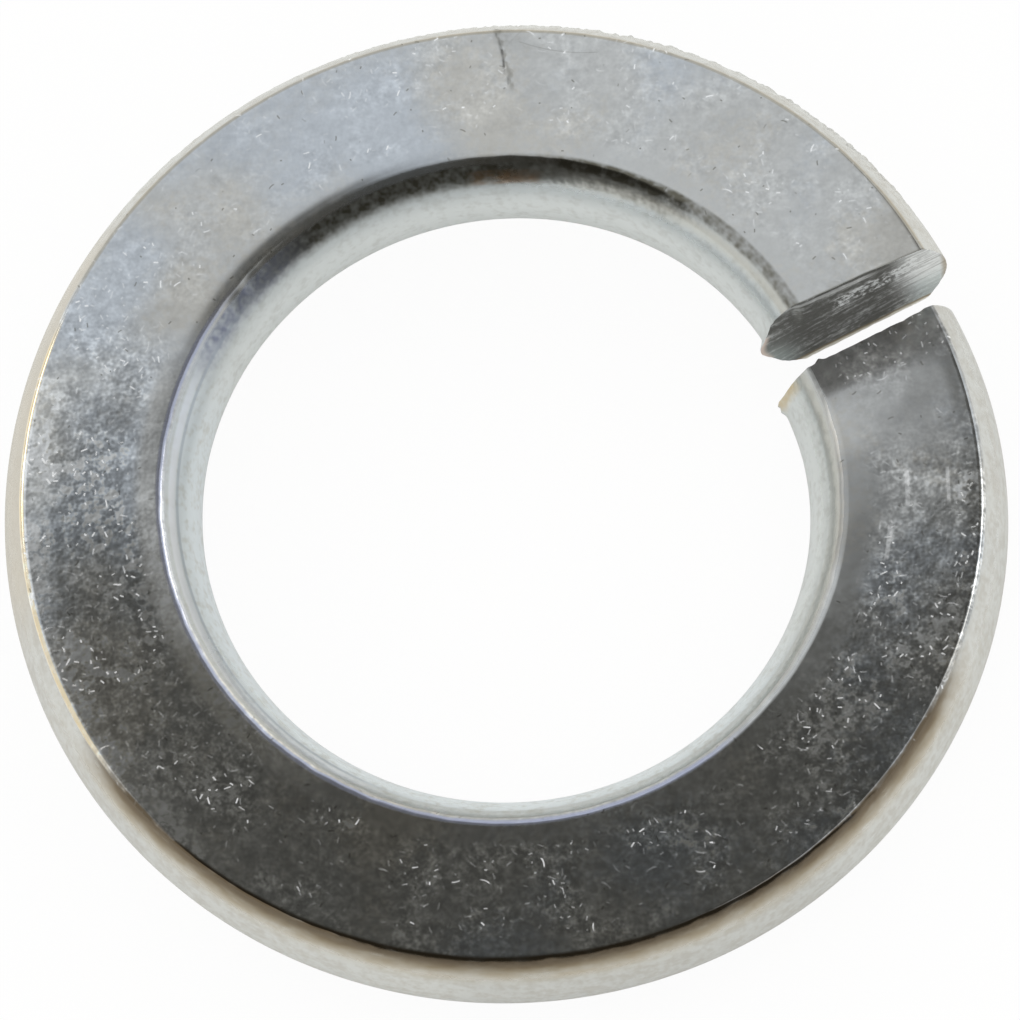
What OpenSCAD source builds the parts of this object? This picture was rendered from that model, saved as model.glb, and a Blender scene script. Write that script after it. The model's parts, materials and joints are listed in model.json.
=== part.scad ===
// Spring lock washer: one turn of flattened spring wire, coiled on a mandrel, sheared off
// and left with its two ends sprung apart. The axis of the bore is Z, and the middle of the
// washer's height is at the origin. The turn is left-handed, so that the raised end bites
// when a right-hand thread tries to come undone.

/* [Ring] */
// Diameter of the bore that goes over the bolt
bore_d = 12.2; // [9:0.1:18]
// Width of the wire, from the bore to the rim
wire_w = 4; // [3:0.1:6]
// Thickness of the wire, between its two flats
wire_t = 2.5; // [1.8:0.1:4]

/* [Wire section] */
// How far the wire's outer side bows out past the flats
rim_bow = 0.5; // [0.2:0.05:0.9]
// How far the wire's inner side bows in past the flats
bore_bow = 0.7; // [0.3:0.05:1]
// Radius of the corners between the flats and the bowed sides
corner_r = 0.12; // [0.05:0.01:0.2]
// Height of the straight land that the mandrel left along the bore
bore_land = 0.6; // [0.2:0.1:1.2]

/* [Spring set] */
// Height that the wire climbs along the turn, from the lower end to the raised end
rise = 2.5; // [0:0.1:6]

/* [Split] */
// Where the middle of the split stands around the ring, in degrees from +X
split_at = 26.7; // [0:0.1:359]
// Gap between the two ends at the bore
gap_at_bore = 0.45; // [0.1:0.05:1.5]
// Gap between the two ends at the rim
gap_at_rim = 0.2; // [0.1:0.05:1.5]
// Lean of the sheared faces from upright where they meet the bore, in degrees
lean_at_bore = 6.5; // [0:0.5:12]
// Lean of the sheared faces from upright where they meet the rim, in degrees
lean_at_rim = 2; // [0:0.5:12]

/* [Smoothness] */
// Stations along the turn
turn_steps = 64; // [48:4:144]
// Steps along each bowed side, from the middle of the wire to a corner
bow_steps = 6; // [3:1:10]
// Steps round each corner
corner_steps = 2; // [1:1:4]

/* [Hidden] */
zinc = [0.72, 0.74, 0.76];

bore_r = bore_d / 2;
rim_r = bore_r + wire_w;
flat_in_r = bore_r + bore_bow;
flat_out_r = rim_r - rim_bow;

// One bowed side of the wire, from the middle of its height up to the flat, as [how far it
// stands out past the flat, height]. It is an arc that stands out by bow where a land of the
// given height ends, and a small corner joins it to the flat.
function bowed_side(bow, land) =
    let (
        half_t = wire_t / 2,
        arc_at = (bow * bow + land * land / 4 - half_t * half_t) / (2 * bow),
        arc_r = norm([arc_at, half_t]),
        corner_at = arc_at + sqrt(pow(arc_r - corner_r, 2) - pow(half_t - corner_r, 2)),
        meet = atan((half_t - corner_r) / (corner_at - arc_at))
    )
    [
        for (i = [0 : bow_steps])
            let (a = meet * (i + 0.5) / (bow_steps + 0.5))
            [arc_at + arc_r * cos(a), arc_r * sin(a)],
        for (i = [1 : corner_steps])
            let (a = meet + (90 - meet) * i / corner_steps)
            [corner_at + corner_r * cos(a), half_t - corner_r * (1 - sin(a))]
    ];

// Upper half of the section from the bore to the rim, as [radius, height]. The arc at the
// bore reaches past it, and what the mandrel's cylinder takes off leaves the land.
function upper_half() =
    let (inner = bowed_side(bore_bow, bore_land), outer = bowed_side(rim_bow, 0))
    [
        for (p = inner) [flat_in_r - p[0], p[1]],
        for (i = [len(outer) - 1 : -1 : 0]) [flat_out_r + outer[i][0], outer[i][1]]
    ];

// A size that changes from the bore to the rim, at a radius
function across(at_bore, at_rim, r) = at_bore + (at_rim - at_bore) * (r - bore_r) / wire_w;

// A point of the section at one share of the turn. The turn starts at the raised end, on one
// side of the gap, and goes down anticlockwise to the other. The blade twists the wire a
// little as it goes through, so the sheared faces lean more at the bore than at the rim.
function place(p, share) =
    let (
        half_gap = asin(across(gap_at_bore, gap_at_rim, p[0]) / 2 / p[0]),
        leant = asin(p[1] * tan(across(lean_at_bore, lean_at_rim, p[0])) / p[0]),
        turned = split_at + leant + half_gap + (360 - 2 * half_gap) * share
    )
    [p[0] * cos(turned), p[0] * sin(turned), p[1] + rise * (0.5 - share)];

// The coiled wire as one closed skin. Each station holds the section's upper half and then
// its lower half, so that the strips of the two sheared faces run from flat to flat.
module coiled_wire() {
    upper = upper_half();
    half = len(upper);
    section = concat(upper, [for (i = [half - 1 : -1 : 0]) [upper[i][0], -upper[i][1]]]);
    ring = len(section);
    points = [for (s = [0 : turn_steps]) for (p = section) place(p, s / turn_steps)];
    sides = [
        for (s = [0 : turn_steps - 1]) for (i = [0 : ring - 1])
            let (a = s * ring + i, b = s * ring + (i + 1) % ring)
            [a, b, b + ring, a + ring]
    ];
    raised_face = [for (i = [0 : half - 2]) [i + 1, i, ring - 1 - i, ring - 2 - i]];
    last = turn_steps * ring;
    lower_face = [for (f = raised_face) [for (i = [3 : -1 : 0]) last + f[i]]];
    polyhedron(points, concat(sides, raised_face, lower_face), convexity = 4);
}

// The washer: the coiled wire, sized in the bore by the mandrel
module lock_washer() {
    color(zinc)
    difference() {
        coiled_wire();
        rotate(split_at)
            cylinder(r = bore_r, h = 2 * (rise + wire_t), center = true, $fn = 180);
    }
}

lock_washer();
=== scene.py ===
import json
import math

import bmesh
import bpy
from mathutils import Matrix, Vector, noise


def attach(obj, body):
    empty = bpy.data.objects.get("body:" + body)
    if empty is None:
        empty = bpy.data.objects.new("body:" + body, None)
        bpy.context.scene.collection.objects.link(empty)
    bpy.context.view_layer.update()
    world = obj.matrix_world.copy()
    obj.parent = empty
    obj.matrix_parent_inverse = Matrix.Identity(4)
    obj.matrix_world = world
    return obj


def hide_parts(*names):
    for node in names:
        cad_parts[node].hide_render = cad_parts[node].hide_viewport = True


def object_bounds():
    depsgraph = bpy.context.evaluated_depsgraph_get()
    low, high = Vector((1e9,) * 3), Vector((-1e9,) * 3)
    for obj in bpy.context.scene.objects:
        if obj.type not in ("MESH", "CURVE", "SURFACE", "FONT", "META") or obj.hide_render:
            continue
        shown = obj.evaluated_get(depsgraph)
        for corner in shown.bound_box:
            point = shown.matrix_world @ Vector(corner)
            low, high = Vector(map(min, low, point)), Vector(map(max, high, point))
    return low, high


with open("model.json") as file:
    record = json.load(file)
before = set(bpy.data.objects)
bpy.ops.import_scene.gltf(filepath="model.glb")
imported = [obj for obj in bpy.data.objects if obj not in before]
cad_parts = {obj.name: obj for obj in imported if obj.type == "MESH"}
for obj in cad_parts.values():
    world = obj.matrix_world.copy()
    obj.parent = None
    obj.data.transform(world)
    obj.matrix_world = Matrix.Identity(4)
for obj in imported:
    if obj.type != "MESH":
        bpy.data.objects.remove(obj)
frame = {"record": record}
cad_low, cad_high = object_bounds()

# Camera. The photograph looks down on the washer from about 20 degrees off its axis and from
# six times its width away. The camera is rolled, so that an angle round the ring is the same
# angle in the picture.
MM = 0.001
PICTURE_WIDTH = 1020
PIXELS_PER_MM = 49.65
RING_CENTRE_PIXEL = (504.3, 509.3)
VIEW_DISTANCE = 125.3 * MM
VIEW_AZIMUTH = math.radians(12.0)
VIEW_ELEVATION = math.radians(70.0)
SENSOR_WIDTH = 36
CLIP_NEAR = 10 * MM
CLIP_FAR = 10

camera = bpy.data.objects.new("camera", bpy.data.cameras.new("camera"))
bpy.context.scene.collection.objects.link(camera)
bpy.context.scene.camera = camera
camera.data.sensor_width = SENSOR_WIDTH
camera.data.lens = SENSOR_WIDTH * PIXELS_PER_MM * VIEW_DISTANCE / MM / PICTURE_WIDTH
camera.data.clip_start = CLIP_NEAR
camera.data.clip_end = CLIP_FAR
bpy.context.scene.view_settings.view_transform = "Standard"
back = Vector((
    math.sin(VIEW_AZIMUTH) * math.cos(VIEW_ELEVATION),
    -math.cos(VIEW_AZIMUTH) * math.cos(VIEW_ELEVATION),
    math.sin(VIEW_ELEVATION),
))
unrolled = (-back).to_track_quat("-Z", "Y").to_matrix()
aim = unrolled @ Matrix.Rotation(-VIEW_AZIMUTH, 3, "Z")
off_centre = Vector((
    PICTURE_WIDTH / 2 - RING_CENTRE_PIXEL[0],
    RING_CENTRE_PIXEL[1] - PICTURE_WIDTH / 2,
    0,
)) * MM / PIXELS_PER_MM
camera.matrix_world = Matrix.Translation(back * VIEW_DISTANCE + aim @ off_centre) @ aim.to_4x4()

# Washer. One turn of spring-steel wire, rolled flat above and below with bowed sides, coiled
# round a mandrel and sheared off. The blade twisted the two ends, drew lines across their
# faces and left a burr in the bore, and the rolls left small teeth and a crack at the rim.
BORE_R = frame["record"]["mounts"][0]["dims"]["r_mm"] * MM
RIM_R = (cad_high.x - cad_low.x) / 2
WIRE_T = 2.5 * MM
RISE = cad_high.z - cad_low.z - WIRE_T
RIM_BOW = 0.5 * MM
BORE_BOW = 0.7 * MM
RIM_CORNER = 0.1 * MM
BORE_CORNER = 0.2 * MM

# Columns across the wire stand closer at its sides, and closer still for a smaller crowding.
ACROSS_STEPS = 32
EDGE_CROWDING = 20
BOW_ROWS = 8
CORNER_ROWS = 3
STATION = 1.4
SAME_MM = 0.001 * MM
SAME_DEGREES = 0.01

# The two ends: where their faces stand, in degrees round the ring from +X, at the bore and at
# the rim, and how far they lean from upright there
RAISED_END = (28.6, 27.55)
RAISED_LEAN = (6.0, 1.4)
LOWER_END = (24.5, 26.2)
LOWER_LEAN = (6.5, 2.0)
END_LENGTH = 14
START = sum(RAISED_END) / 2
TURN = 360 - START + sum(LOWER_END) / 2

# The stations stand closest at the ends, along the toothed rim and at the crack: from one
# angle of the turn to another, and how many cuts each station gets there.
CLOSE_STATIONS = ((0, 60, 3), (60, 66, 7), (66, 84, 3), (84, TURN - 12, 1), (TURN - 12, 360, 3))
RAISED_FACE_CUTS = 2
SHARP_FROM = math.radians(50)


def bowed_side(bow, corner_r, row):
    """How far a row of the wire's side stands out past the flat, and its height."""
    half = WIRE_T / 2
    arc_at = (bow ** 2 - half ** 2) / (2 * bow)
    arc_r = math.hypot(arc_at, half)
    corner_at = arc_at + math.sqrt((arc_r - corner_r) ** 2 - (half - corner_r) ** 2)
    meet = math.atan2(half - corner_r, corner_at - arc_at)
    if abs(row) <= BOW_ROWS:
        turned = meet * abs(row) / BOW_ROWS
        out, high = arc_at + arc_r * math.cos(turned), arc_r * math.sin(turned)
    else:
        turned = meet + (math.pi / 2 - meet) * (abs(row) - BOW_ROWS) / CORNER_ROWS
        out = corner_at + corner_r * math.cos(turned)
        high = half - corner_r * (1 - math.sin(turned))
    return out, math.copysign(high, row)


def wire_section(bm):
    """The sheared face as a grid in the XZ plane, bent to the outline of the wire."""
    rows = 2 * (BOW_ROWS + CORNER_ROWS)
    grid = bmesh.ops.create_grid(bm, x_segments=ACROSS_STEPS, y_segments=rows, size=1)
    for v in grid["verts"]:
        share = (v.co.x + 1) / 2 - math.sin(math.pi * (v.co.x + 1)) / EDGE_CROWDING
        row = round((v.co.y + 1) / 2 * rows) - rows / 2
        inner, inner_high = bowed_side(BORE_BOW, BORE_CORNER, row)
        outer, outer_high = bowed_side(RIM_BOW, RIM_CORNER, row)
        inner = BORE_R + BORE_BOW - inner
        outer = RIM_R - RIM_BOW + outer
        v[radius] = inner + (outer - inner) * share
        v[height] = inner_high + (outer_high - inner_high) * share
        v.co = (v[radius], 0, v[height])


def wound(point):
    """How far along the turn a point is, in degrees from the middle of the raised end."""
    angle = (math.degrees(math.atan2(point.y, point.x)) - START) % 360
    return 0 if angle > (TURN + 360) / 2 else angle


washer_mesh = bpy.data.meshes.new("washer")
bm = bmesh.new()
radius = bm.verts.layers.float.new("radius")
height = bm.verts.layers.float.new("height")
turned_by = bm.verts.layers.float.new("along")
wire_section(bm)
steps = round(TURN / STATION)
bmesh.ops.spin(
    bm, geom=bm.verts[:] + bm.edges[:] + bm.faces[:], cent=(0, 0, 0), axis=(0, 0, 1),
    angle=math.radians(TURN), steps=steps, dvec=(0, 0, -RISE * TURN / 360 / steps),
    use_merge=False, use_duplicate=False,
)
bmesh.ops.rotate(
    bm, verts=bm.verts, cent=(0, 0, 0), matrix=Matrix.Rotation(math.radians(START), 3, "Z")
)
for first, last, cuts in CLOSE_STATIONS:
    lengthwise = [
        e for e in bm.edges
        if abs(e.verts[0][height] - e.verts[1][height]) < SAME_MM
        and abs(e.verts[0][radius] - e.verts[1][radius]) < SAME_MM
        and first <= (wound(e.verts[0].co) + wound(e.verts[1].co)) / 2 < last
    ]
    bmesh.ops.subdivide_edges(bm, edges=lengthwise, cuts=cuts, use_grid_fill=True)
raised_face = {f for f in bm.faces if all(wound(v.co) < SAME_DEGREES for v in f.verts)}
lower_face = {f for f in bm.faces if all(wound(v.co) > TURN - SAME_DEGREES for v in f.verts)}
for face in raised_face | lower_face:
    face.material_index = 1
raised_edges = [e for e in bm.edges if any(f in raised_face for f in e.link_faces)]
bmesh.ops.subdivide_edges(bm, edges=raised_edges, cuts=RAISED_FACE_CUTS, use_grid_fill=True)
bmesh.ops.recalc_face_normals(bm, faces=bm.faces)


def bell(value, middle, spread):
    """1 at the middle, falling off smoothly on both sides."""
    return math.exp(-((value - middle) / spread) ** 2)


def step_up(value, low, high):
    """0 below low, 1 above high and a smooth step between them."""
    share = min(max((value - low) / (high - low), 0), 1)
    return share * share * (3 - 2 * share)


def rough(x, y, layers):
    """Smooth noise in layers. Each has a size, waves per unit of x and of y, and a seed."""
    return sum(
        size * noise.noise(Vector((x * x_waves, y * y_waves, seed)))
        for size, x_waves, y_waves, seed in layers
    )


def end_angle(ends, leans, r, h):
    """Where a sheared face stands round the ring, at one radius and height in the wire."""
    across = (r - BORE_R) / (RIM_R - BORE_R)
    lean = math.radians(leans[0] + (leans[1] - leans[0]) * across)
    return ends[0] + (ends[1] - ends[0]) * across + math.degrees(h * math.tan(lean) / r)


# The crack runs in from the rim. Its places are in mm from the axis and in degrees round the
# ring.
CRACK = ((8.2, 88.4), (8.77, 89.5), (9.24, 89.9), (9.55, 90.7))
CRACK_DEPTH = 0.007
CRACK_WIDTH = 0.05
CRACK_TAPER = 0.25
CRACK_BENDS = ((0.25, 9, 0, 3),)
CRACK_SWELLS = ((0.5, 7, 0, 8),)


def crack_depth(path, r, angle):
    """How deep the crack is, in mm, at a place on the upper flat."""
    for (r0, a0), (r1, a1) in zip(path, path[1:]):
        if r0 <= r <= r1:
            middle = a0 + (a1 - a0) * (r - r0) / (r1 - r0) + rough(r, 0, CRACK_BENDS)
            beside = math.radians(angle - middle) * r
            taper = step_up(r, path[0][0], path[0][0] + CRACK_TAPER)
            return CRACK_DEPTH * taper * bell(beside, 0, CRACK_WIDTH * (1 + rough(r, 0, CRACK_SWELLS)))
    return 0


# The wear. Sizes are in mm, or in degrees where they move a place round the ring. A pair is
# where the wear starts and where it is full, or for a bell its middle and its spread. Pairs
# named ROUND are in degrees round the ring, pairs named ACROSS in mm from the bore's axis, and
# pairs named UP in mm above the middle of the wire.
UPPER_FLAT = 1.2
RIM_ACROSS = (9.55, 9.75)
BORE_ACROSS = (6.75, 6.95)
CORNER_UP = (1.0, 1.2)
SPRUNG_OUT = 0.04
SPRUNG_ROUND = (325, 375)
WAVES = ((0.010, 0.35, 0.35, 21), (0.0015, 1.3, 1.3, 22), (0.0007, 2.6, 2.6, 23))
SWELL = 0.008
SWELL_ROUND = (178, 26)
SWELL_ACROSS = (6.8, 7.7)
RIM_WANDER = 0.015
FRONT_WANDER = 0.035
FRONT_STARTS_ROUND = (225, 250)
FRONT_ENDS_ROUND = (325, 345)
RIM_RIPPLES = ((1, 0.45, 0, 1), (0.6, 1.1, 0, 5))
BORE_RIPPLES = ((0.02, 0.3, 0, 2),)
BORE_DIP = 0.021
BORE_DIP_ROUND = (126, 26)
BORE_DIP_ACROSS = (6.75, 7.1)
RIM_DIP = 0.005
RIM_DIP_ROUND = (335, 365)
RIM_DIP_ACROSS = (9.2, 9.6)
TOOTH = 0.05
TEETH = ((1, 2.3, 0.9, 4), (0.6, 5, 2, 6))
TEETH_START_ROUND = (30, 40)
TEETH_FADE_ROUND = (75, 115)
TEETH_FADE = 0.7
TEETH_END_ROUND = (130, 150)
TEETH_UP = (0.5, 0.6)
DENT = 0.05
DENT_ROUND = (205, 1.7)
DENT_UP = (0.45, 0.13)
DENT_CLIMB = 0.12

# The blade drew the bore side of both ends inward and tore the edges along the cut.
RAISED_LIP_ROUND = (28, 1.6)
RAISED_LIP_IN = 0.17
RAISED_LIP_IN_UP = (-0.05, 0.35)
RAISED_LIP_OUT = 0.05
RAISED_LIP_OUT_DOWN = (0.8, 1.2)
LOBE = 0.7
LOBE_ROUND = (28, 1.2)
LOBE_UP = (0.75, 0.4)
LOWER_LIP_ROUND = (385, 1.5)
LOWER_LIP_IN = 0.12
LOWER_LIP_IN_UP = (0.25, 0.3)
LOWER_LIP_IN_RAGGED = ((1, 7, 1, 7),)
LOWER_BURR = 0.22
LOWER_BURR_DOWN = (0.05, 0.6)
LOWER_BURR_RAGGED = ((0.5, 8, 1, 9),)
TORN_EDGES = (((28, 0.5), ((0.08, 5, 1, 9),)), ((385.5, 0.5), ((0.2, 6, 1, 10),)))
TORN_UP = (0.9, 1.25)
SNAG = 0.6
SNAG_ROUND = (385.5, 1.2)
SNAG_ACROSS = (7.03, 0.07)
SNAG_UP = (0.8, 1.25)


def worn(r, h, angle):
    """The wear and burrs at a place in the wire, as changes of radius, height and angle."""
    out, up, on = 0, 0, 0
    outer = step_up(r, *RIM_ACROSS)
    inner = 1 - step_up(r, *BORE_ACROSS)
    upper = step_up(h, *CORNER_UP)
    # the lower end springs out a little
    out += SPRUNG_OUT * step_up(angle, *SPRUNG_ROUND)
    # the upper flat is not quite flat, and is cracked
    if h > UPPER_FLAT:
        turned = math.radians(angle)
        up += rough(r * math.cos(turned), r * math.sin(turned), WAVES)
        up += SWELL * bell(angle, *SWELL_ROUND) * (1 - step_up(r, *SWELL_ACROSS))
        up -= crack_depth(CRACK, r, angle)
    # the corners wander a little, and more so along the lower front of the rim
    front = step_up(angle, *FRONT_STARTS_ROUND) * (1 - step_up(angle, *FRONT_ENDS_ROUND))
    out += outer * upper * (RIM_WANDER + FRONT_WANDER * front) * rough(angle, 0, RIM_RIPPLES)
    out += inner * upper * rough(angle, 0, BORE_RIPPLES)
    # the flat falls off softly to the bore at the upper left, and a little to the rim on the right
    up -= upper * BORE_DIP * bell(angle, *BORE_DIP_ROUND) * (1 - step_up(r, *BORE_DIP_ACROSS))
    up -= upper * RIM_DIP * step_up(angle, *RIM_DIP_ROUND) * step_up(r, *RIM_DIP_ACROSS)
    # rolling left fine teeth on the upper half of the rim
    toothed = step_up(angle, *TEETH_START_ROUND) * (1 - step_up(angle, *TEETH_FADE_ROUND) * TEETH_FADE)
    toothed *= 1 - step_up(angle, *TEETH_END_ROUND)
    out += outer * toothed * TOOTH * rough(angle, h, TEETH) * bell(h, *TEETH_UP)
    # the dent in the rim climbs along the turn
    dent_up = DENT_UP[0] + DENT_CLIMB * (angle - DENT_ROUND[0])
    out -= outer * DENT * bell(h, dent_up, DENT_UP[1]) * bell(angle, *DENT_ROUND)
    # the raised end's bore side: drawn in at mid height, out below, and a lobe past the cut above
    near_raised = inner * bell(angle, *RAISED_LIP_ROUND)
    out -= near_raised * RAISED_LIP_IN * bell(h, *RAISED_LIP_IN_UP)
    out += near_raised * RAISED_LIP_OUT * step_up(-h, *RAISED_LIP_OUT_DOWN)
    on += inner * bell(angle, *LOBE_ROUND) * LOBE * bell(h, *LOBE_UP)
    # the lower end's bore side: drawn in above, with a burr below
    near_lower = inner * bell(angle, *LOWER_LIP_ROUND)
    ragged = 1 + rough(h, angle, LOWER_LIP_IN_RAGGED)
    out -= near_lower * LOWER_LIP_IN * bell(h, *LOWER_LIP_IN_UP) * ragged
    ragged = 1 + rough(h, angle, LOWER_BURR_RAGGED)
    out += near_lower * LOWER_BURR * step_up(-h, *LOWER_BURR_DOWN) * ragged
    # the edges along the cut are torn, and one snag stands out
    for torn_round, torn in TORN_EDGES:
        on += bell(angle, *torn_round) * step_up(abs(h), *TORN_UP) * rough(r, h, torn)
    on += bell(angle, *SNAG_ROUND) * bell(r, *SNAG_ACROSS) * step_up(h, *SNAG_UP) * SNAG
    return out, up, on


# The lines that the blade drew out across the raised face: how far they slope, in mm per mm,
# about the middle of the wire in mm, and how far they stand out in mm.
DRAWN_SLOPE = 0.12
WIRE_MIDDLE = 8
DRAWN_LINES = ((0.014, 0.45, 5.5, 11), (0.010, 0.9, 13, 12))

on_raised_face = {
    v for f in bm.faces if f.material_index == 1 for v in f.verts if wound(v.co) < SAME_DEGREES
}
for v in bm.verts:
    r, h, angle = v[radius], v[height], wound(v.co)
    shift = 0
    if angle < END_LENGTH:
        here = 1 - angle / END_LENGTH
        shift = (end_angle(RAISED_END, RAISED_LEAN, r, h) - START) * here
    elif angle > TURN - END_LENGTH:
        here = 1 - (TURN - angle) / END_LENGTH
        shift = (end_angle(LOWER_END, LOWER_LEAN, r, h) - START - TURN + 360) * here
    out, up, on = worn(r / MM, h / MM, START + angle)
    if v in on_raised_face:
        down = h / MM - DRAWN_SLOPE * (r / MM - WIRE_MIDDLE)
        on -= math.degrees(rough(r / MM, down, DRAWN_LINES) * MM / r)
    turned = math.radians(START + angle + shift + on)
    v[turned_by] = angle
    r += out * MM
    v.co = (r * math.cos(turned), r * math.sin(turned), RISE * (0.5 - angle / 360) + h + up * MM)

bm.to_mesh(washer_mesh)
bm.free()
for polygon in washer_mesh.polygons:
    polygon.use_smooth = True
washer_mesh.set_sharp_from_angle(angle=SHARP_FROM)
washer = bpy.data.objects.new("washer", washer_mesh)
bpy.context.scene.collection.objects.link(washer)


class Socket:
    """A socket in a node tree. Arithmetic on it adds Math nodes, and node() adds any other."""

    def __init__(self, tree, socket=None):
        self.tree = tree
        self.socket = socket

    def node(self, kind, settings=None, inputs=None, output=0):
        made = self.tree.nodes.new("ShaderNode" + kind)
        for name, setting in (settings or {}).items():
            setattr(made, name, setting)
        for name, value in (inputs or {}).items():
            if isinstance(value, Socket):
                self.tree.links.new(value.socket, made.inputs[name])
            else:
                made.inputs[name].default_value = value
        return Socket(self.tree, made.outputs[output] if made.outputs else None)

    def output(self, name):
        return Socket(self.tree, self.socket.node.outputs[name])

    def math(self, operation, *values):
        return self.node("Math", {"operation": operation}, dict(enumerate(values)))

    def __add__(self, other):
        return self.math("ADD", self, other)

    def __mul__(self, other):
        return self.math("MULTIPLY", self, other)

    def __sub__(self, other):
        return self.math("SUBTRACT", self, other)

    def __rsub__(self, other):
        return self.math("SUBTRACT", other, self)

    __radd__ = __add__
    __rmul__ = __mul__

    def size(self):
        """The value without its sign."""
        return self.math("ABSOLUTE", self)

    def rises(self, low, high):
        """0 below low, 1 above high and a smooth step between them."""
        return self.node(
            "MapRange", {"interpolation_type": "SMOOTHSTEP"}, {0: self, 1: low, 2: high, 3: 0, 4: 1}
        )

    def falls(self, low, high):
        """1 below low, 0 above high and a smooth step between them."""
        return 1 - self.rises(low, high)

    def within(self, low, high, soft):
        """1 between low and high, with soft edges outside them."""
        return self.rises(low - soft, low) * self.falls(high, high + soft)

    def scaled(self, factor):
        """A colour made lighter or darker by a factor."""
        return self.node("VectorMath", {"operation": "SCALE"}, {0: self, "Scale": factor})

    def mix(self, first, second):
        """The first colour where this is 0 and the second where it is 1."""
        return self.node("Mix", {"data_type": "RGBA"}, {0: self, 6: first, 7: second}, 2)


def new_material(name):
    material = bpy.data.materials.new(name)
    material.use_nodes = True
    material.node_tree.nodes.clear()
    return material, Socket(material.node_tree)


def painted(colour, coats):
    """A colour under coats of others. Each coat has the places it covers and its own colour."""
    for covered, coat in coats:
        colour = covered.mix(colour, coat)
    return colour


def speckle(tree, place, per_mm, detail=2, roughness=0.5):
    """Noise around 0, from about -0.5 to 0.5."""
    made = tree.node("TexNoise", {}, {
        "Vector": place, "Scale": per_mm, "Detail": detail, "Roughness": roughness,
    })
    return made - 0.5


def place_in_mm(tree):
    """A place on the washer, in mm from its origin."""
    place = tree.node("TexCoord", output="Object")
    return tree.node("VectorMath", {"operation": "SCALE"}, {0: place, "Scale": 1 / MM})


def wire_place(tree):
    """A place in the wire: across and up in mm from the bore's axis, along in degrees."""
    across = tree.node("Attribute", {"attribute_name": "radius"}, output="Fac") * (1 / MM)
    up = tree.node("Attribute", {"attribute_name": "height"}, output="Fac") * (1 / MM)
    along = tree.node("Attribute", {"attribute_name": "along"}, output="Fac") + START
    return across, up, along


def line(distance, width):
    """1 on a line and 0 beside it, where the distance is more than half its width."""
    return 1 - distance.size().rises(0, width * 0.5)


# Each short mark is longer or shorter than its length says: the length is divided by the least
# of these up to the sum of both. A mark fades from one share of its length to the other, and
# the last of those that are kept are fainter.
LEAST_SHORTENED = 0.5
SHORTENED_BY = 1.4
MARK_FADES = (0.25, 0.5)
FAINT_SPAN = 0.35


def short_marks(tree, flat, per_mm, length, width, bend, kept):
    """Short scratches, at most one in each cell: up to 1 on the scratch and 0 beside it."""
    cell = tree.node("TexVoronoi", {"voronoi_dimensions": "2D"}, {"Vector": flat, "Scale": per_mm})
    turn = cell.output("Color").node("SeparateColor", {}, {0: cell.output("Color")})
    chance = turn.output("Green")
    shape = turn.output("Blue")
    aside = tree.node("VectorMath", {"operation": "SUBTRACT"}, {0: flat, 1: cell.output("Position")})
    east = tree.node("SeparateXYZ", {}, {0: aside})
    north = east.output("Y")
    turn = turn * 2 * math.pi
    cosine = turn.math("COSINE", turn)
    sine = turn.math("SINE", turn)
    beside = east * cosine + north * sine
    across = north * cosine - east * sine + (shape - 0.5) * beside * beside * bend
    ends = beside.size() * (shape * SHORTENED_BY + LEAST_SHORTENED)
    ends = ends.falls(length * MARK_FADES[0], length * MARK_FADES[1])
    return line(across, width) * ends * chance.rises(1 - kept, 1 + FAINT_SPAN - kept)


# Zinc plate over the rolled steel. The flats carry handling marks, painted bright as glints, drawn-out
# streaks round the rim and a thin bluish and straw-coloured film, with a smooth margin along the bore.
# The sides are duller, and brown in places along the corners. Highlights and shade are painted on in
# places, on the flats, along the corners and on the bore side.
STEEL_GREY = (0.61, 0.61, 0.60, 1)
BLUE_FILM = (0.57, 0.60, 0.64, 1)
STRAW_FILM = (0.64, 0.62, 0.58, 1)
CREAM = (0.64, 0.65, 0.63, 1)
BEIGE = (0.53, 0.52, 0.48, 1)
WARM = (0.60, 0.54, 0.44, 1)
PALE = (0.73, 0.76, 0.76, 1)
PALE_BLUE = (0.75, 0.80, 0.83, 1)
DULL = (0.63, 0.65, 0.64, 1)
CREASE = (0.42, 0.46, 0.52, 1)
EDGE_BLACK = (0.16, 0.125, 0.085, 1)
EDGE_BROWN = (0.17, 0.13, 0.08, 1)
EDGE_OLIVE = (0.44, 0.38, 0.27, 1)
EDGE_BLUE = (0.33, 0.35, 0.44, 1)
EDGE_WHITE = (0.84, 0.87, 0.93, 1)
EDGE_VIOLET = (0.44, 0.47, 0.62, 1)
AMBER_HIGHLIGHT = (0.95, 0.80, 0.55, 1)
RUST = (0.42, 0.27, 0.16, 1)
OIL_STAIN = (0.66, 0.55, 0.36, 1)
GRIME_AND_SHADE = (0.16, 0.15, 0.12, 1)
BRIGHT = (0.95, 0.96, 0.97, 1)

# Spans in the wire, round the ring in degrees from +X, across in mm from the bore's axis or up
# in mm from the middle of the wire. A pair is where a thing starts and where it is full. A
# third value is how far a span's soft edges reach past it.
FLAT_UP = (1.17, 1.22)
UPPER_FLAT_UP = (1.1, 1.15)
RIM_SIDE_ACROSS = (9.5, 9.6)
BORE_SIDE_ACROSS = (6.9, 7.0)
LOWER_SIDE_UP = (0.55, 0.95)
RIM_CORNER_ACROSS = (9.56, 9.63, 0.025)
RIM_CORNER_UP = (1.05, 1.18)
BORE_CORNER_ACROSS = (6.74, 6.79, 0.03)
BORE_CORNER_UP = (1.0, 1.15)
MARGIN_ACROSS = (7.15, 7.45)
LEFT_ROUND = (171, 218, 18)
RIGHT_ROUND = (322, 362, 12)
RIGHT_ACROSS = (7.2, 7.9)
FRONT_ROUND = (228, 312, 15)
NEAR_CUT_ROUND = (378, 381)
WIRE_MEAN_R = 8.1
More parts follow.
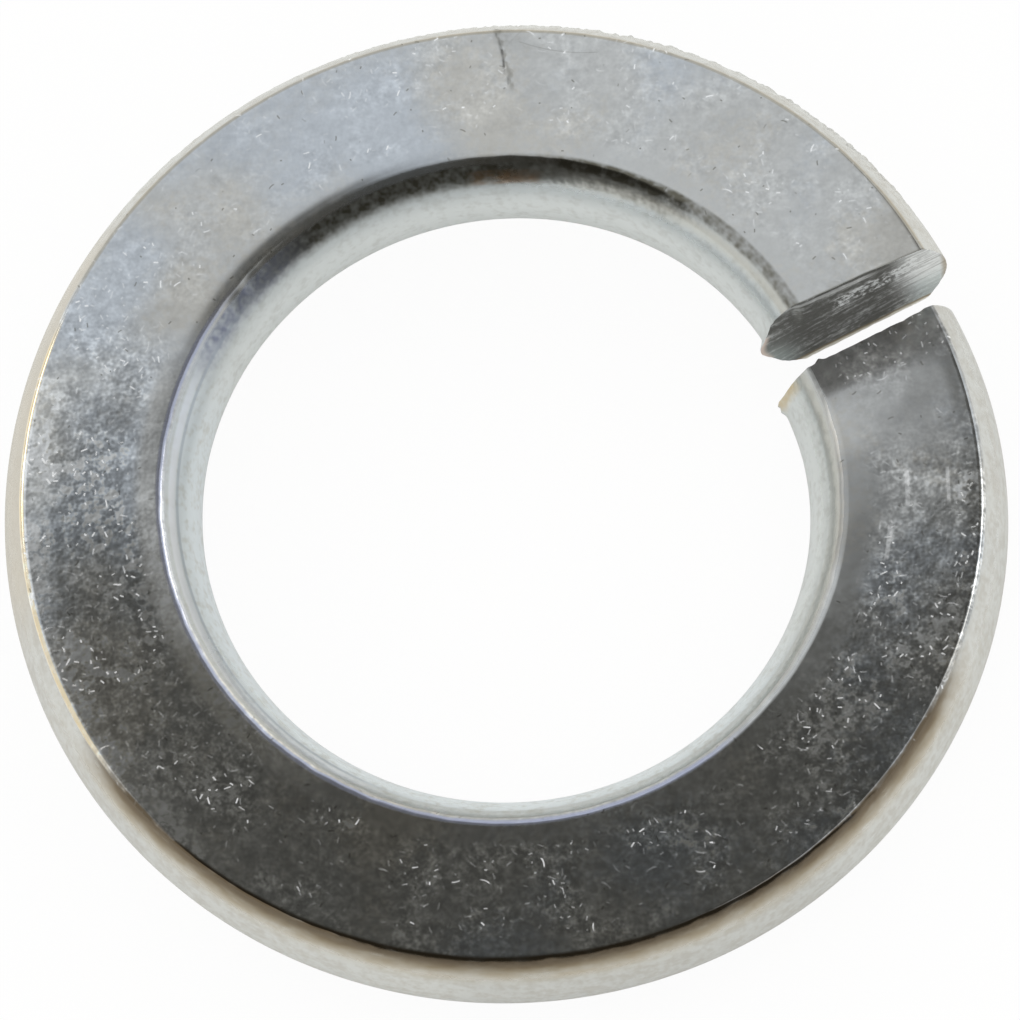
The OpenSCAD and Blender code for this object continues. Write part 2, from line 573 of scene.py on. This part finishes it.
STREAKS_PER_MM = (5, 1.6, 5)

zinc, tree = new_material("bright zinc plate")
in_mm = place_in_mm(tree)
across, up, along = wire_place(tree)
around = along * (WIRE_MEAN_R * math.pi / 180)
drawn_out = tree.node("CombineXYZ", {}, {
    0: across * STREAKS_PER_MM[0], 1: around * STREAKS_PER_MM[1], 2: up * STREAKS_PER_MM[2],
})

on_flat = up.size().rises(*FLAT_UP)
off_flat = 1 - on_flat
on_upper_flat = up.rises(*UPPER_FLAT_UP)
rim_side = across.rises(*RIM_SIDE_ACROSS) * off_flat
bore_side = across.falls(*BORE_SIDE_ACROSS) * off_flat
lower_side = up.falls(*LOWER_SIDE_UP)
rim_corner = across.within(*RIM_CORNER_ACROSS) * up.rises(*RIM_CORNER_UP)
bore_corner = across.within(*BORE_CORNER_ACROSS) * up.rises(*BORE_CORNER_UP)
margin = across.falls(*MARGIN_ACROSS)
left = along.within(*LEFT_ROUND)
right = along.within(*RIGHT_ROUND) * across.rises(*RIGHT_ACROSS)
dark_front = along.within(*FRONT_ROUND)
near_cut = along.rises(*NEAR_CUT_ROUND)

cloud = speckle(tree, in_mm, per_mm=0.35, detail=1, roughness=0.6)
patch = speckle(tree, in_mm, per_mm=0.9, detail=1)
texture = speckle(tree, in_mm, per_mm=3.6, detail=2, roughness=0.9)
grain = speckle(tree, in_mm, per_mm=6, detail=1, roughness=0.7)
streak = speckle(tree, drawn_out, per_mm=1, detail=2, roughness=0.6)

# handling marks come in clusters, and hardly on the margin, at the front's rim or on one patch. They are
# painted bright as glints, and brighter at the dark front
CLUSTER = (-0.05, 0.12)
CLEAN_ROUND = (364, 377, 5)
CLEAN_RIM_ACROSS = (9.1, 9.3)
MARGIN_CLEARED = 0.9
PATCH_CLEARED = 0.6
FRONT_GLINT = 0.5
cluster = (patch + cloud * 0.3).rises(*CLUSTER)
dashes = short_marks(tree, in_mm, per_mm=2.5, length=0.15, width=0.055, bend=4, kept=0.7)
nicks = short_marks(tree, in_mm, per_mm=4.6, length=0.11, width=0.055, bend=0, kept=0.75)
pits = short_marks(tree, in_mm, per_mm=2.0, length=0.09, width=0.05, bend=5, kept=0.6) * on_flat
dashed = cluster * 0.8 + 0.2
nicked = cluster * 0.4 + (left + right) * (cluster * 0.6 + 0.3) + near_cut * 0.6
marks = dashes * dashed + nicks * nicked
marks = marks * (1 - margin * MARGIN_CLEARED) * (1 - along.within(*CLEAN_ROUND) * PATCH_CLEARED) * on_flat
marks = marks * (1 - across.rises(*CLEAN_RIM_ACROSS) * dark_front)
glint = marks * (1 + dark_front * FRONT_GLINT)

# three light bars lie along the wire near the cut
BAR_PLACES = (
    ((8.05, 8.11, 0.03), (359.5, 364.5, 0.4)),
    ((8.88, 8.92, 0.03), (360, 364.5, 0.4)),
    ((7.72, 7.78, 0.03), (351, 356, 0.5)),
)
bars = sum(across.within(*bar_across) * along.within(*bar_round) for bar_across, bar_round in BAR_PLACES)
bars = bars * (texture + 0.8)

# the crack, a fork at its mouth with grime around it, and a thin scratch beside it
CRACK_LEAN = 1.7
CRACK_WANDER = 1.2
CRACK_ACROSS = (8.2, 8.4)
FORK_START = (9.2, 89.8)
FORK_LEAN = 5.3
FORK_WIDTH = 0.09
FORK_ACROSS = (9.2, 9.3)
FORK_STRENGTH = 0.2
MOUTH_ASIDE = 0.08
MOUTH_WIDTH = (0.05, 0.3)
MOUTH_ACROSS = (8.9, 9.55)
SCRATCH_START = (9.17, 82)
SCRATCH_BEND = 0.005
SCRATCH_WIDTH = 0.045
SCRATCH_ROUND = (78.2, 87.8, 0.4)
crack_beside = along - CRACK[0][1] - (across - CRACK[0][0]) * CRACK_LEAN + grain * CRACK_WANDER
crack_beside = crack_beside * across * (math.pi / 180)
crack = line(crack_beside, 0.17 + grain * 0.2) * across.rises(*CRACK_ACROSS) * on_upper_flat
crack = crack * (0.8 + grain)
fork = (along - FORK_START[1] + (across - FORK_START[0]) * FORK_LEAN) * across * (math.pi / 180)
crack = crack + line(fork, FORK_WIDTH) * across.rises(*FORK_ACROSS) * on_upper_flat * FORK_STRENGTH
mouth = (crack_beside + MOUTH_ASIDE).size().falls(*MOUTH_WIDTH) * across.rises(*MOUTH_ACROSS)
mouth = mouth * on_upper_flat * (grain + 0.5).rises(0.1, 0.7)
from_scratch = along - SCRATCH_START[1]
scratch = across - (from_scratch * from_scratch * SCRATCH_BEND + SCRATCH_START[0])
scratch = line(scratch, SCRATCH_WIDTH) * along.within(*SCRATCH_ROUND) * on_upper_flat

# the film and the mottling of the flats, with painted highlights and painted shade on them
BLUISH_ROUND = (110, 195, 30)
STRAW_ROUND = (165, 225, 15)
GRITTY_UP = (-0.5, 1.0)
LIT_MARGIN_ROUND = (188, 232, 12)
LIT_RIM_ACROSS = (8.9, 9.3)
LIT_RIM_ROUND = (172, 228, 12)
LIT_LEFT_ROUND = (180, 222, 10)
CUT_SHADE_ACROSS = (8.3, 9.2)
THIN_SHADE_ROUND = (375, 380)
SHADED_ACROSS = (7.4, 8.0)
SHADED_ROUND = (352, 366, 6)
FRONT_GRITTY = 0.5
CUT_GRITTY = 0.4
ALL_GRITTY = 0.22
MARGIN_SMOOTH = 0.6
LIT_MARGIN = 0.35
LIT_RIM = 0.35
LIT_LEFT = 0.2
CUT_SHADED = 0.25
THINLY_SHADED = 0.15
SHADED = 0.3
CLOUDY = 0.25
bluish = (cloud + grain * 0.2 + along.within(*BLUISH_ROUND) * 0.15).rises(0.0, 0.3)
straw = (cloud * -1 + grain * 0.3).rises(0.02, 0.2)
colour = painted(bluish.mix(STEEL_GREY, BLUE_FILM), (
    (straw, STRAW_FILM),
    (margin * on_flat * along.within(*STRAW_ROUND) * 0.6, STRAW_FILM),
))
gritty = left + right + near_cut * CUT_GRITTY + dark_front * FRONT_GRITTY
gritty = gritty * up.rises(*GRITTY_UP) + ALL_GRITTY
mottle = texture * (cluster * 2.2 + 2.0) + patch * 0.9
mottle = mottle * gritty * (1 - margin * MARGIN_SMOOTH) * on_flat
# painted highlights: the flat is lighter along the margin and the rim at the left, and all across at the
# left, where it mirrors bright light
lit = margin * along.within(*LIT_MARGIN_ROUND) * LIT_MARGIN
lit = lit + across.rises(*LIT_RIM_ACROSS) * along.within(*LIT_RIM_ROUND) * LIT_RIM
lit = lit + along.within(*LIT_LEFT_ROUND) * LIT_LEFT
# painted shade: the flat is darker near the lower end's cut, most along the rim, as a painted reflection
# of the raised end standing above it
cut_shade = near_cut * across.rises(*CUT_SHADE_ACROSS) * CUT_SHADED + along.rises(*THIN_SHADE_ROUND) * THINLY_SHADED
# painted shade on the inner part of the flat at the right, near the cut
shaded = across.falls(*SHADED_ACROSS) * along.within(*SHADED_ROUND) * on_flat * SHADED
colour = colour.scaled((1 + mottle + mottle * mottle * 0.8) * (1 + (lit - cut_shade) * on_flat))
colour = colour.scaled(1 - shaded)
colour = colour.scaled(1 + cloud * (1 - left - right - dark_front) * CLOUDY)

# the bowed side along the rim
WARM_ROUND = (152, 190, 12)
DIM_ROUND = (270, 306, 10)
WARMED = 0.7
DIMMED = 0.1
RIM_SIDE_COVERED = 0.85
side_colour = (streak + texture + grain * 0.6).rises(-0.25, 0.3).mix(CREAM, BEIGE)
side_colour = (along.within(*WARM_ROUND) * WARMED).mix(side_colour, WARM)
# painted shade: the side is darker at the front, where it mirrors the shadowed floor beside the washer
side_colour = side_colour.scaled(1 - along.within(*DIM_ROUND) * DIMMED)
colour = (rim_side * RIM_SIDE_COVERED).mix(colour, side_colour)

# the bowed side along the bore, with a painted dark band of shade at the upper left, grey and then blue,
# a crease painted darker as shade and a painted white highlight along its top
PALE_BLUE_ROUND = (170, 320, 20)
BORE_TOP_UP = (1.0, 1.05)
BORE_TOP_CLEAN_ROUND = (90, 150, 12)
BORE_EDGE_UP = (0.75, 1.05)
BORE_SHADE_ROUND = (92, 128, 14)
BORE_BLUE_ROUND = (136, 150, 12)
CREASE_UP = (0.98, 1.0, 0.03)
CREASE_ROUND = (150, 240, 15)
BORE_WHITE_UP = (1.05, 1.12, 0.04)
BORE_WHITE_ROUND = (165, 240, 12)
bore_edge = up.rises(*BORE_EDGE_UP)
bore_colour = painted(along.within(*PALE_BLUE_ROUND).mix(PALE, PALE_BLUE), (
    ((streak + grain).rises(-0.1, 0.4), DULL),
    (up.rises(*BORE_TOP_UP) * (1 - along.within(*BORE_TOP_CLEAN_ROUND)) * 0.4, BEIGE),
    # painted shade: the dark band at the upper left, grey and then blue
    (bore_edge * along.within(*BORE_SHADE_ROUND) * (grain * 1.5 + 0.75), GRIME_AND_SHADE),
    (bore_edge * along.within(*BORE_BLUE_ROUND) * (grain * 1.5 + 0.7), EDGE_BLUE),
    # the crease painted darker as shade, and the painted white highlight along the top
    (up.within(*CREASE_UP) * along.within(*CREASE_ROUND) * 0.6, CREASE),
    (up.within(*BORE_WHITE_UP) * along.within(*BORE_WHITE_ROUND) * 0.7, EDGE_WHITE),
))
colour = bore_side.mix(colour, bore_colour)

# the corners, with a painted highlight and painted shade along the rim corner, the rust, the marks and
# the crack
BORE_LINE_ACROSS = (6.8, 6.86, 0.06)
BORE_LINE_UP = (1.15, 1.22)
BORE_LINE_ROUND = (152, 305, 14)
CORNER_SHADE_ACROSS = (6.7, 6.86, 0.08)
CORNER_SHADE_UP = (0.95, 1.15)
CORNER_SHADE_ENDS_ROUND = (70, 95)
WALL_SHADE_ACROSS = (6.5, 6.8, 0.12)
WALL_SHADE_UP = (0.6, 1.0)
WALL_SHADE_ROUND = (62, 92, 9)
BROWN_ROUND = (222, 330, 12)
OLIVE_UP = (0.55, 1.05)
BROWN_UP = (0.8, 1.15)
BLACK_ACROSS = (9.52, 9.6)
BLACK_UP = (1.02, 1.18)
AMBER_HIGHLIGHT_ROUND = (162, 212, 6)
RIM_EDGE_SHADE_ROUND = (32, 150, 8)
RUST_ACROSS = (6.42, 6.58, 0.05)
RUST_ROUND = (85, 94, 3)
RUST_UP = (0.5, 0.7)
CUT_EDGE_ROUND = (0.0, 0.35)
STAIN_ACROSS = (6.35, 6.6)
STAIN_UP = (0.3, 0.9, 0.25)
STAIN_ROUND = (382.5, 384.5)
bore_line = across.within(*BORE_LINE_ACROSS) * up.rises(*BORE_LINE_UP) * along.within(*BORE_LINE_ROUND)
# painted shade: a soft dark band along the flat's bore corner and the top of the bore side, from the
# raised end round to the upper left, in the grime colour
corner_shade = across.within(*CORNER_SHADE_ACROSS) * up.rises(*CORNER_SHADE_UP) * along.falls(*CORNER_SHADE_ENDS_ROUND)
wall_shade = across.within(*WALL_SHADE_ACROSS) * up.rises(*WALL_SHADE_UP)
corner_shade = corner_shade + wall_shade * along.within(*WALL_SHADE_ROUND) * 0.7
brown = along.within(*BROWN_ROUND)
black_edge = across.rises(*BLACK_ACROSS) * up.rises(*BLACK_UP) * brown
rust = across.within(*RUST_ACROSS) * along.within(*RUST_ROUND) * (streak + 0.6).rises(0.3, 0.8)
cut_edge = (along - START).falls(*CUT_EDGE_ROUND) * on_flat
stain = across.falls(*STAIN_ACROSS) * up.within(*STAIN_UP) * along.rises(*STAIN_ROUND)
colour = painted(colour, (
    (bore_line * 0.8, EDGE_VIOLET),
    # the painted shade along the bore corner
    (corner_shade * (grain + streak + 0.6), GRIME_AND_SHADE),
    (rim_side * up.rises(*OLIVE_UP) * brown * (streak + 0.7), EDGE_OLIVE),
    (rim_side * up.rises(*BROWN_UP) * brown * (streak + 0.9), EDGE_BROWN),
    (black_edge * (streak + 1), EDGE_BLACK),
    # a painted highlight along the rim corner at the left
    (rim_corner * along.within(*AMBER_HIGHLIGHT_ROUND) * (streak + 0.8), AMBER_HIGHLIGHT),
    # painted shade along the rim corner over the upper half
    (rim_corner * along.within(*RIM_EDGE_SHADE_ROUND) * 0.5, EDGE_OLIVE),
    (rust * up.rises(*RUST_UP) * 0.7, RUST),
    (pits * 0.7, GRIME_AND_SHADE),
    # the marks, painted bright as glints
    (glint * 0.9, BRIGHT),
    (bars * 0.5, BRIGHT),
    (cut_edge * 0.6, GRIME_AND_SHADE),
    (stain * (grain + 0.7), OIL_STAIN),
    (scratch * 0.25, GRIME_AND_SHADE),
    (mouth * 0.3, GRIME_AND_SHADE),
    (crack * 0.5, GRIME_AND_SHADE),
))

# how rough the plate is, how much of it is chalky instead of metallic, and its relief in mm
ROUGH_CORNER_ROUND = (235, 262)
SOFT_BORE_ACROSS = (7.0, 7.3)
SOFT_BORE_ROUND = (100, 200, 20)
FLAT_RELIEF = 0.0014
SIDE_RELIEF = 0.004
FLAT_ROUGHNESS = 0.12
GRAIN_ROUGHER = 0.08
SIDE_ROUGHER = 0.12
LOWER_SIDE_ROUGHER = 0.12
CORNER_ROUGHER = 0.28
SOFT_BORE_ROUGHER = 0.07
CUT_ROUGHER = 0.06
SIDE_CHALKY = 0.45
CUT_CHALKY = 0.15
GLINT_CHALKY = 0.45
BAR_CHALKY = 0.2
BORE_LINE_CHALKY = 0.15
sheen = FLAT_ROUGHNESS + grain * GRAIN_ROUGHER
sheen = sheen + (SIDE_ROUGHER + lower_side * LOWER_SIDE_ROUGHER) * off_flat
sheen = sheen + bore_corner * along.rises(*ROUGH_CORNER_ROUND) * CORNER_ROUGHER
sheen = sheen + across.falls(*SOFT_BORE_ACROSS) * along.within(*SOFT_BORE_ROUND) * SOFT_BORE_ROUGHER
sheen = sheen + near_cut * on_flat * CUT_ROUGHER
chalky = (rim_side + bore_side * lower_side) * SIDE_CHALKY * (0.8 + streak)
chalky = chalky + near_cut * on_flat * CUT_CHALKY + glint * GLINT_CHALKY
chalky = chalky + bars * BAR_CHALKY + bore_line * BORE_LINE_CHALKY
relief = grain * (FLAT_RELIEF * (left + right) * on_flat + SIDE_RELIEF * off_flat)
bump = tree.node("Bump", {}, {"Height": relief, "Distance": MM, "Strength": 1})
zinc_shader = tree.node("BsdfPrincipled", {}, {
    "Base Color": colour, "Metallic": 1 - chalky, "Roughness": sheen, "Normal": bump,
})
tree.node("OutputMaterial", {}, {"Surface": zinc_shader})
washer_mesh.materials.append(zinc)

# The sheared faces are bare and dull where the blade went through: dark, with lines drawn out across them
# that are painted bright as highlights, painted lighter towards the rim and along the top edge where
# light falls on them, and brown along their edges.
BARE_DARK = (0.14, 0.14, 0.13, 1)
BARE_LIGHT = (0.84, 0.86, 0.86, 1)
BARE_BLUE = (0.42, 0.52, 0.52, 1)
EDGE_UMBER = (0.34, 0.27, 0.17, 1)
BURR_CREAM = (0.95, 0.92, 0.82, 1)
TIP_PINK = (0.88, 0.74, 0.66, 1)
BARE_METALLIC = 0.45
BARE_ROUGHNESS = 0.38
GRIT_ROUGHER = 0.15
FINE_LINES_PER_MM = (0.9, 10)
BROAD_LINES_PER_MM = (0.8, 2.2)
BROAD_LINES_FROM = 3.0
LINE_RELIEF = 0.02
GRIT_RELIEF = 0.004
BROKEN_TILTED = (0.4, 0.7, 0.2)
BROKEN_ACROSS = (7.8, 9.3, 0.3)
RIM_LIGHT_ACROSS = (8.7, 9.5)
RIM_LIGHT_UP = (-0.9, 0.1)
RIM_PALE_ACROSS = (9.0, 9.6)
RIM_PALE_UP = (-0.5, 0.3)
BORE_PALE_ACROSS = (6.2, 7.0)
BORE_PALE_UP = (-0.7, 0.4)
TOP_LINE_UP = (1.06, 1.14, 0.04)
TOP_LINE_ACROSS = (8.2, 8.8)
UMBER_UP = (-1.12, -1.04)
BURR_UP = (-1.2, -1.11)
TIP_ACROSS = (6.12, 6.28)
TIP_UP = (-0.45, 0.3, 0.12)
RIM_EDGE_ACROSS = (9.93, 10.05)

sheared, tree = new_material("sheared face")
in_mm = place_in_mm(tree)
across, up, along = wire_place(tree)
tilted = up - (across - WIRE_MIDDLE) * DRAWN_SLOPE
fine_place = tree.node("CombineXYZ", {}, {
    0: across * FINE_LINES_PER_MM[0], 1: 0.0, 2: tilted * FINE_LINES_PER_MM[1],
})
broad_place = tree.node("CombineXYZ", {}, {
    0: across * BROAD_LINES_PER_MM[0], 1: BROAD_LINES_FROM, 2: tilted * BROAD_LINES_PER_MM[1],
})
fine_lines = speckle(tree, fine_place, per_mm=1, detail=5, roughness=0.7)
broad_lines = speckle(tree, broad_place, per_mm=1, detail=1)
grit = speckle(tree, in_mm, per_mm=9, detail=3, roughness=0.6)
relief = fine_lines * LINE_RELIEF + grit * GRIT_RELIEF
bump = tree.node("Bump", {}, {"Height": relief, "Distance": MM, "Strength": 1})
broken = tilted.within(*BROKEN_TILTED) * across.within(*BROKEN_ACROSS)
broken = broken * (grit * 1.5 + fine_lines).rises(-0.12, 0.2)
rim_light = across.rises(*RIM_LIGHT_ACROSS) * up.rises(*RIM_LIGHT_UP)
rim_pale = across.rises(*RIM_PALE_ACROSS) * up.falls(*RIM_PALE_UP)
bore_pale = across.falls(*BORE_PALE_ACROSS) * up.falls(*BORE_PALE_UP)
top_line = up.within(*TOP_LINE_UP) * across.falls(*TOP_LINE_ACROSS)
tip = across.falls(*TIP_ACROSS) * up.within(*TIP_UP)
# painted light: the drawn lines and grit are painted bright as highlights, and the face is painted
# lighter towards the rim, towards the bore and along its top edge
lit = (fine_lines * 2.4 + broad_lines * 1.0 + grit * 1.4).rises(-0.15, 0.9) * 0.7 + broken * 0.8
lit = lit + rim_light * (fine_lines * 2.4 + 0.75) + rim_pale * 0.45 + bore_pale * 0.2 + top_line * 0.5
bare = painted(lit.math("MINIMUM", lit, 1.0).mix(BARE_DARK, BARE_LIGHT), (
    ((rim_pale + bore_pale) * 0.4, BARE_BLUE),
    (up.falls(*UMBER_UP), EDGE_UMBER),
    (up.falls(*BURR_UP), BURR_CREAM),
    (tip * 0.9, TIP_PINK),
    (across.rises(*RIM_EDGE_ACROSS) * 0.7, EDGE_UMBER),
))
sheared_shader = tree.node("BsdfPrincipled", {}, {
    "Base Color": bare, "Metallic": BARE_METALLIC, "Normal": bump,
    "Roughness": BARE_ROUGHNESS + grit * GRIT_ROUGHER,
})
tree.node("OutputMaterial", {}, {"Surface": sheared_shader})
washer_mesh.materials.append(sheared)

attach(washer, "root")
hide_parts("lock_washer")

# Studio. A plain white sweep that the washer lies on, soft daylight from behind and from both
# sides, and the unlit part of the room over and behind the camera, which the flat shows.
FLOOR_WIDTH = 600 * MM
FLOOR_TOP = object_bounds()[0].z
FLOOR_SHOWN_WHITE = 0.94
PAPER = (0.93, 0.93, 0.90, 1)
BACK_LIGHT = (0.74, 0.77, 0.79, 1)
SIDE_LIGHT = (0.79, 0.77, 0.71, 1)
ROOM_DARK = (0.088, 0.087, 0.079, 1)
HORIZON = (0.62, 0.67, 0.71, 1)
WHITE = (1, 1, 1, 1)

floor_mesh = bpy.data.meshes.new("floor")
bm = bmesh.new()
bmesh.ops.create_grid(bm, x_segments=1, y_segments=1, size=FLOOR_WIDTH / 2)
bmesh.ops.translate(bm, verts=bm.verts, vec=(0, 0, FLOOR_TOP))
bm.to_mesh(floor_mesh)
bm.free()
floor = bpy.data.objects.new("floor", floor_mesh)
bpy.context.scene.collection.objects.link(floor)
paper, tree = new_material("white paper")
ray = tree.node("LightPath", output="Is Camera Ray")
shadowed = tree.node("BsdfDiffuse", {}, {"Color": PAPER})
white = tree.node("Emission", {}, {"Color": WHITE, "Strength": 1})
paper_shader = tree.node("MixShader", {}, {0: ray * FLOOR_SHOWN_WHITE, 1: shadowed, 2: white})
clear = tree.node("BsdfTransparent")
behind = tree.node("NewGeometry", output="Backfacing")
paper_shader = tree.node("MixShader", {}, {0: ray * behind, 1: paper_shader, 2: clear})
tree.node("OutputMaterial", {}, {"Surface": paper_shader})
floor_mesh.materials.append(paper)

# The room as the washer shows it. A light's share of east and of north is the way to it, and a
# pair is where that light starts and where it is full, as a share of the way there.
BACK_WAY = (-0.79, 0.61)
BACK_LIT = (0.222, 0.318)
RIGHT_LIT_EAST = (0.14, 0.24)
RIGHT_WAY = (0.5, 0.87)
RIGHT_LIT_BACK = (0.0, 0.15)
FRONT_RIGHT_WAY = (0.6, -0.8)
FRONT_RIGHT_LIT = (0.25, 0.6)
FRONT_RIGHT_LOWERS = 0.22
SIDES_END_UP = (0.27, 0.45)
HORIZON_UP = (0.03, 0.12)
PAPER_ENDS_UP = (-0.06, -0.02)

world = bpy.data.worlds.new("studio")
world.use_nodes = True
world.node_tree.nodes.clear()
bpy.context.scene.world = world
world.cycles.sampling_method = "NONE"
tree = Socket(world.node_tree)
toward = tree.node("TexCoord", output="Generated")
east = tree.node("SeparateXYZ", {}, {0: toward}, "X")
north = east.output("Y")
up = east.output("Z")
ray = tree.node("LightPath", output="Is Camera Ray")
diffuse_ray = ray.output("Is Diffuse Ray")
back_lit = (east * BACK_WAY[0] + north * BACK_WAY[1]).rises(*BACK_LIT)
right_lit = (east * RIGHT_WAY[0] + north * RIGHT_WAY[1]).rises(*RIGHT_LIT_BACK)
right_lit = east.rises(*RIGHT_LIT_EAST) * right_lit
front_right = (east * FRONT_RIGHT_WAY[0] + north * FRONT_RIGHT_WAY[1]).rises(*FRONT_RIGHT_LIT)
side_lit = (up + front_right * FRONT_RIGHT_LOWERS).falls(*SIDES_END_UP)
daylight = 1 - (1 - back_lit) * (1 - right_lit) * (1 - side_lit)
seen = daylight.mix(ROOM_DARK, side_lit.mix(BACK_LIGHT, SIDE_LIGHT))
seen = up.rises(*HORIZON_UP).mix(HORIZON, seen)
seen = up.rises(*PAPER_ENDS_UP).mix(PAPER, seen)
seen = diffuse_ray.mix(seen, WHITE)
seen = ray.mix(seen, WHITE)
background = tree.node("Background", {}, {"Color": seen, "Strength": 1})
tree.node("OutputWorld", {}, {"Surface": background})

# Two small windows, high up behind on the left and on the right, draw the bright corner lines.
WINDOWS = (("left window", Vector((-260, 132, 272)) * MM), ("right window", Vector((220, 132, 308)) * MM))
WINDOW_WIDTH = 100 * MM
WINDOW_POWER = 0.07
WINDOW_COLOUR = (1, 0.96, 0.88)
for name, stand in WINDOWS:
    lamp = bpy.data.objects.new(name, bpy.data.lights.new(name, "AREA"))
    bpy.context.scene.collection.objects.link(lamp)
    lamp.data.size = WINDOW_WIDTH
    lamp.data.energy = WINDOW_POWER
    lamp.data.color = WINDOW_COLOUR
    lamp.matrix_world = Matrix.Translation(stand) @ stand.to_track_quat("Z", "Y").to_matrix().to_4x4()
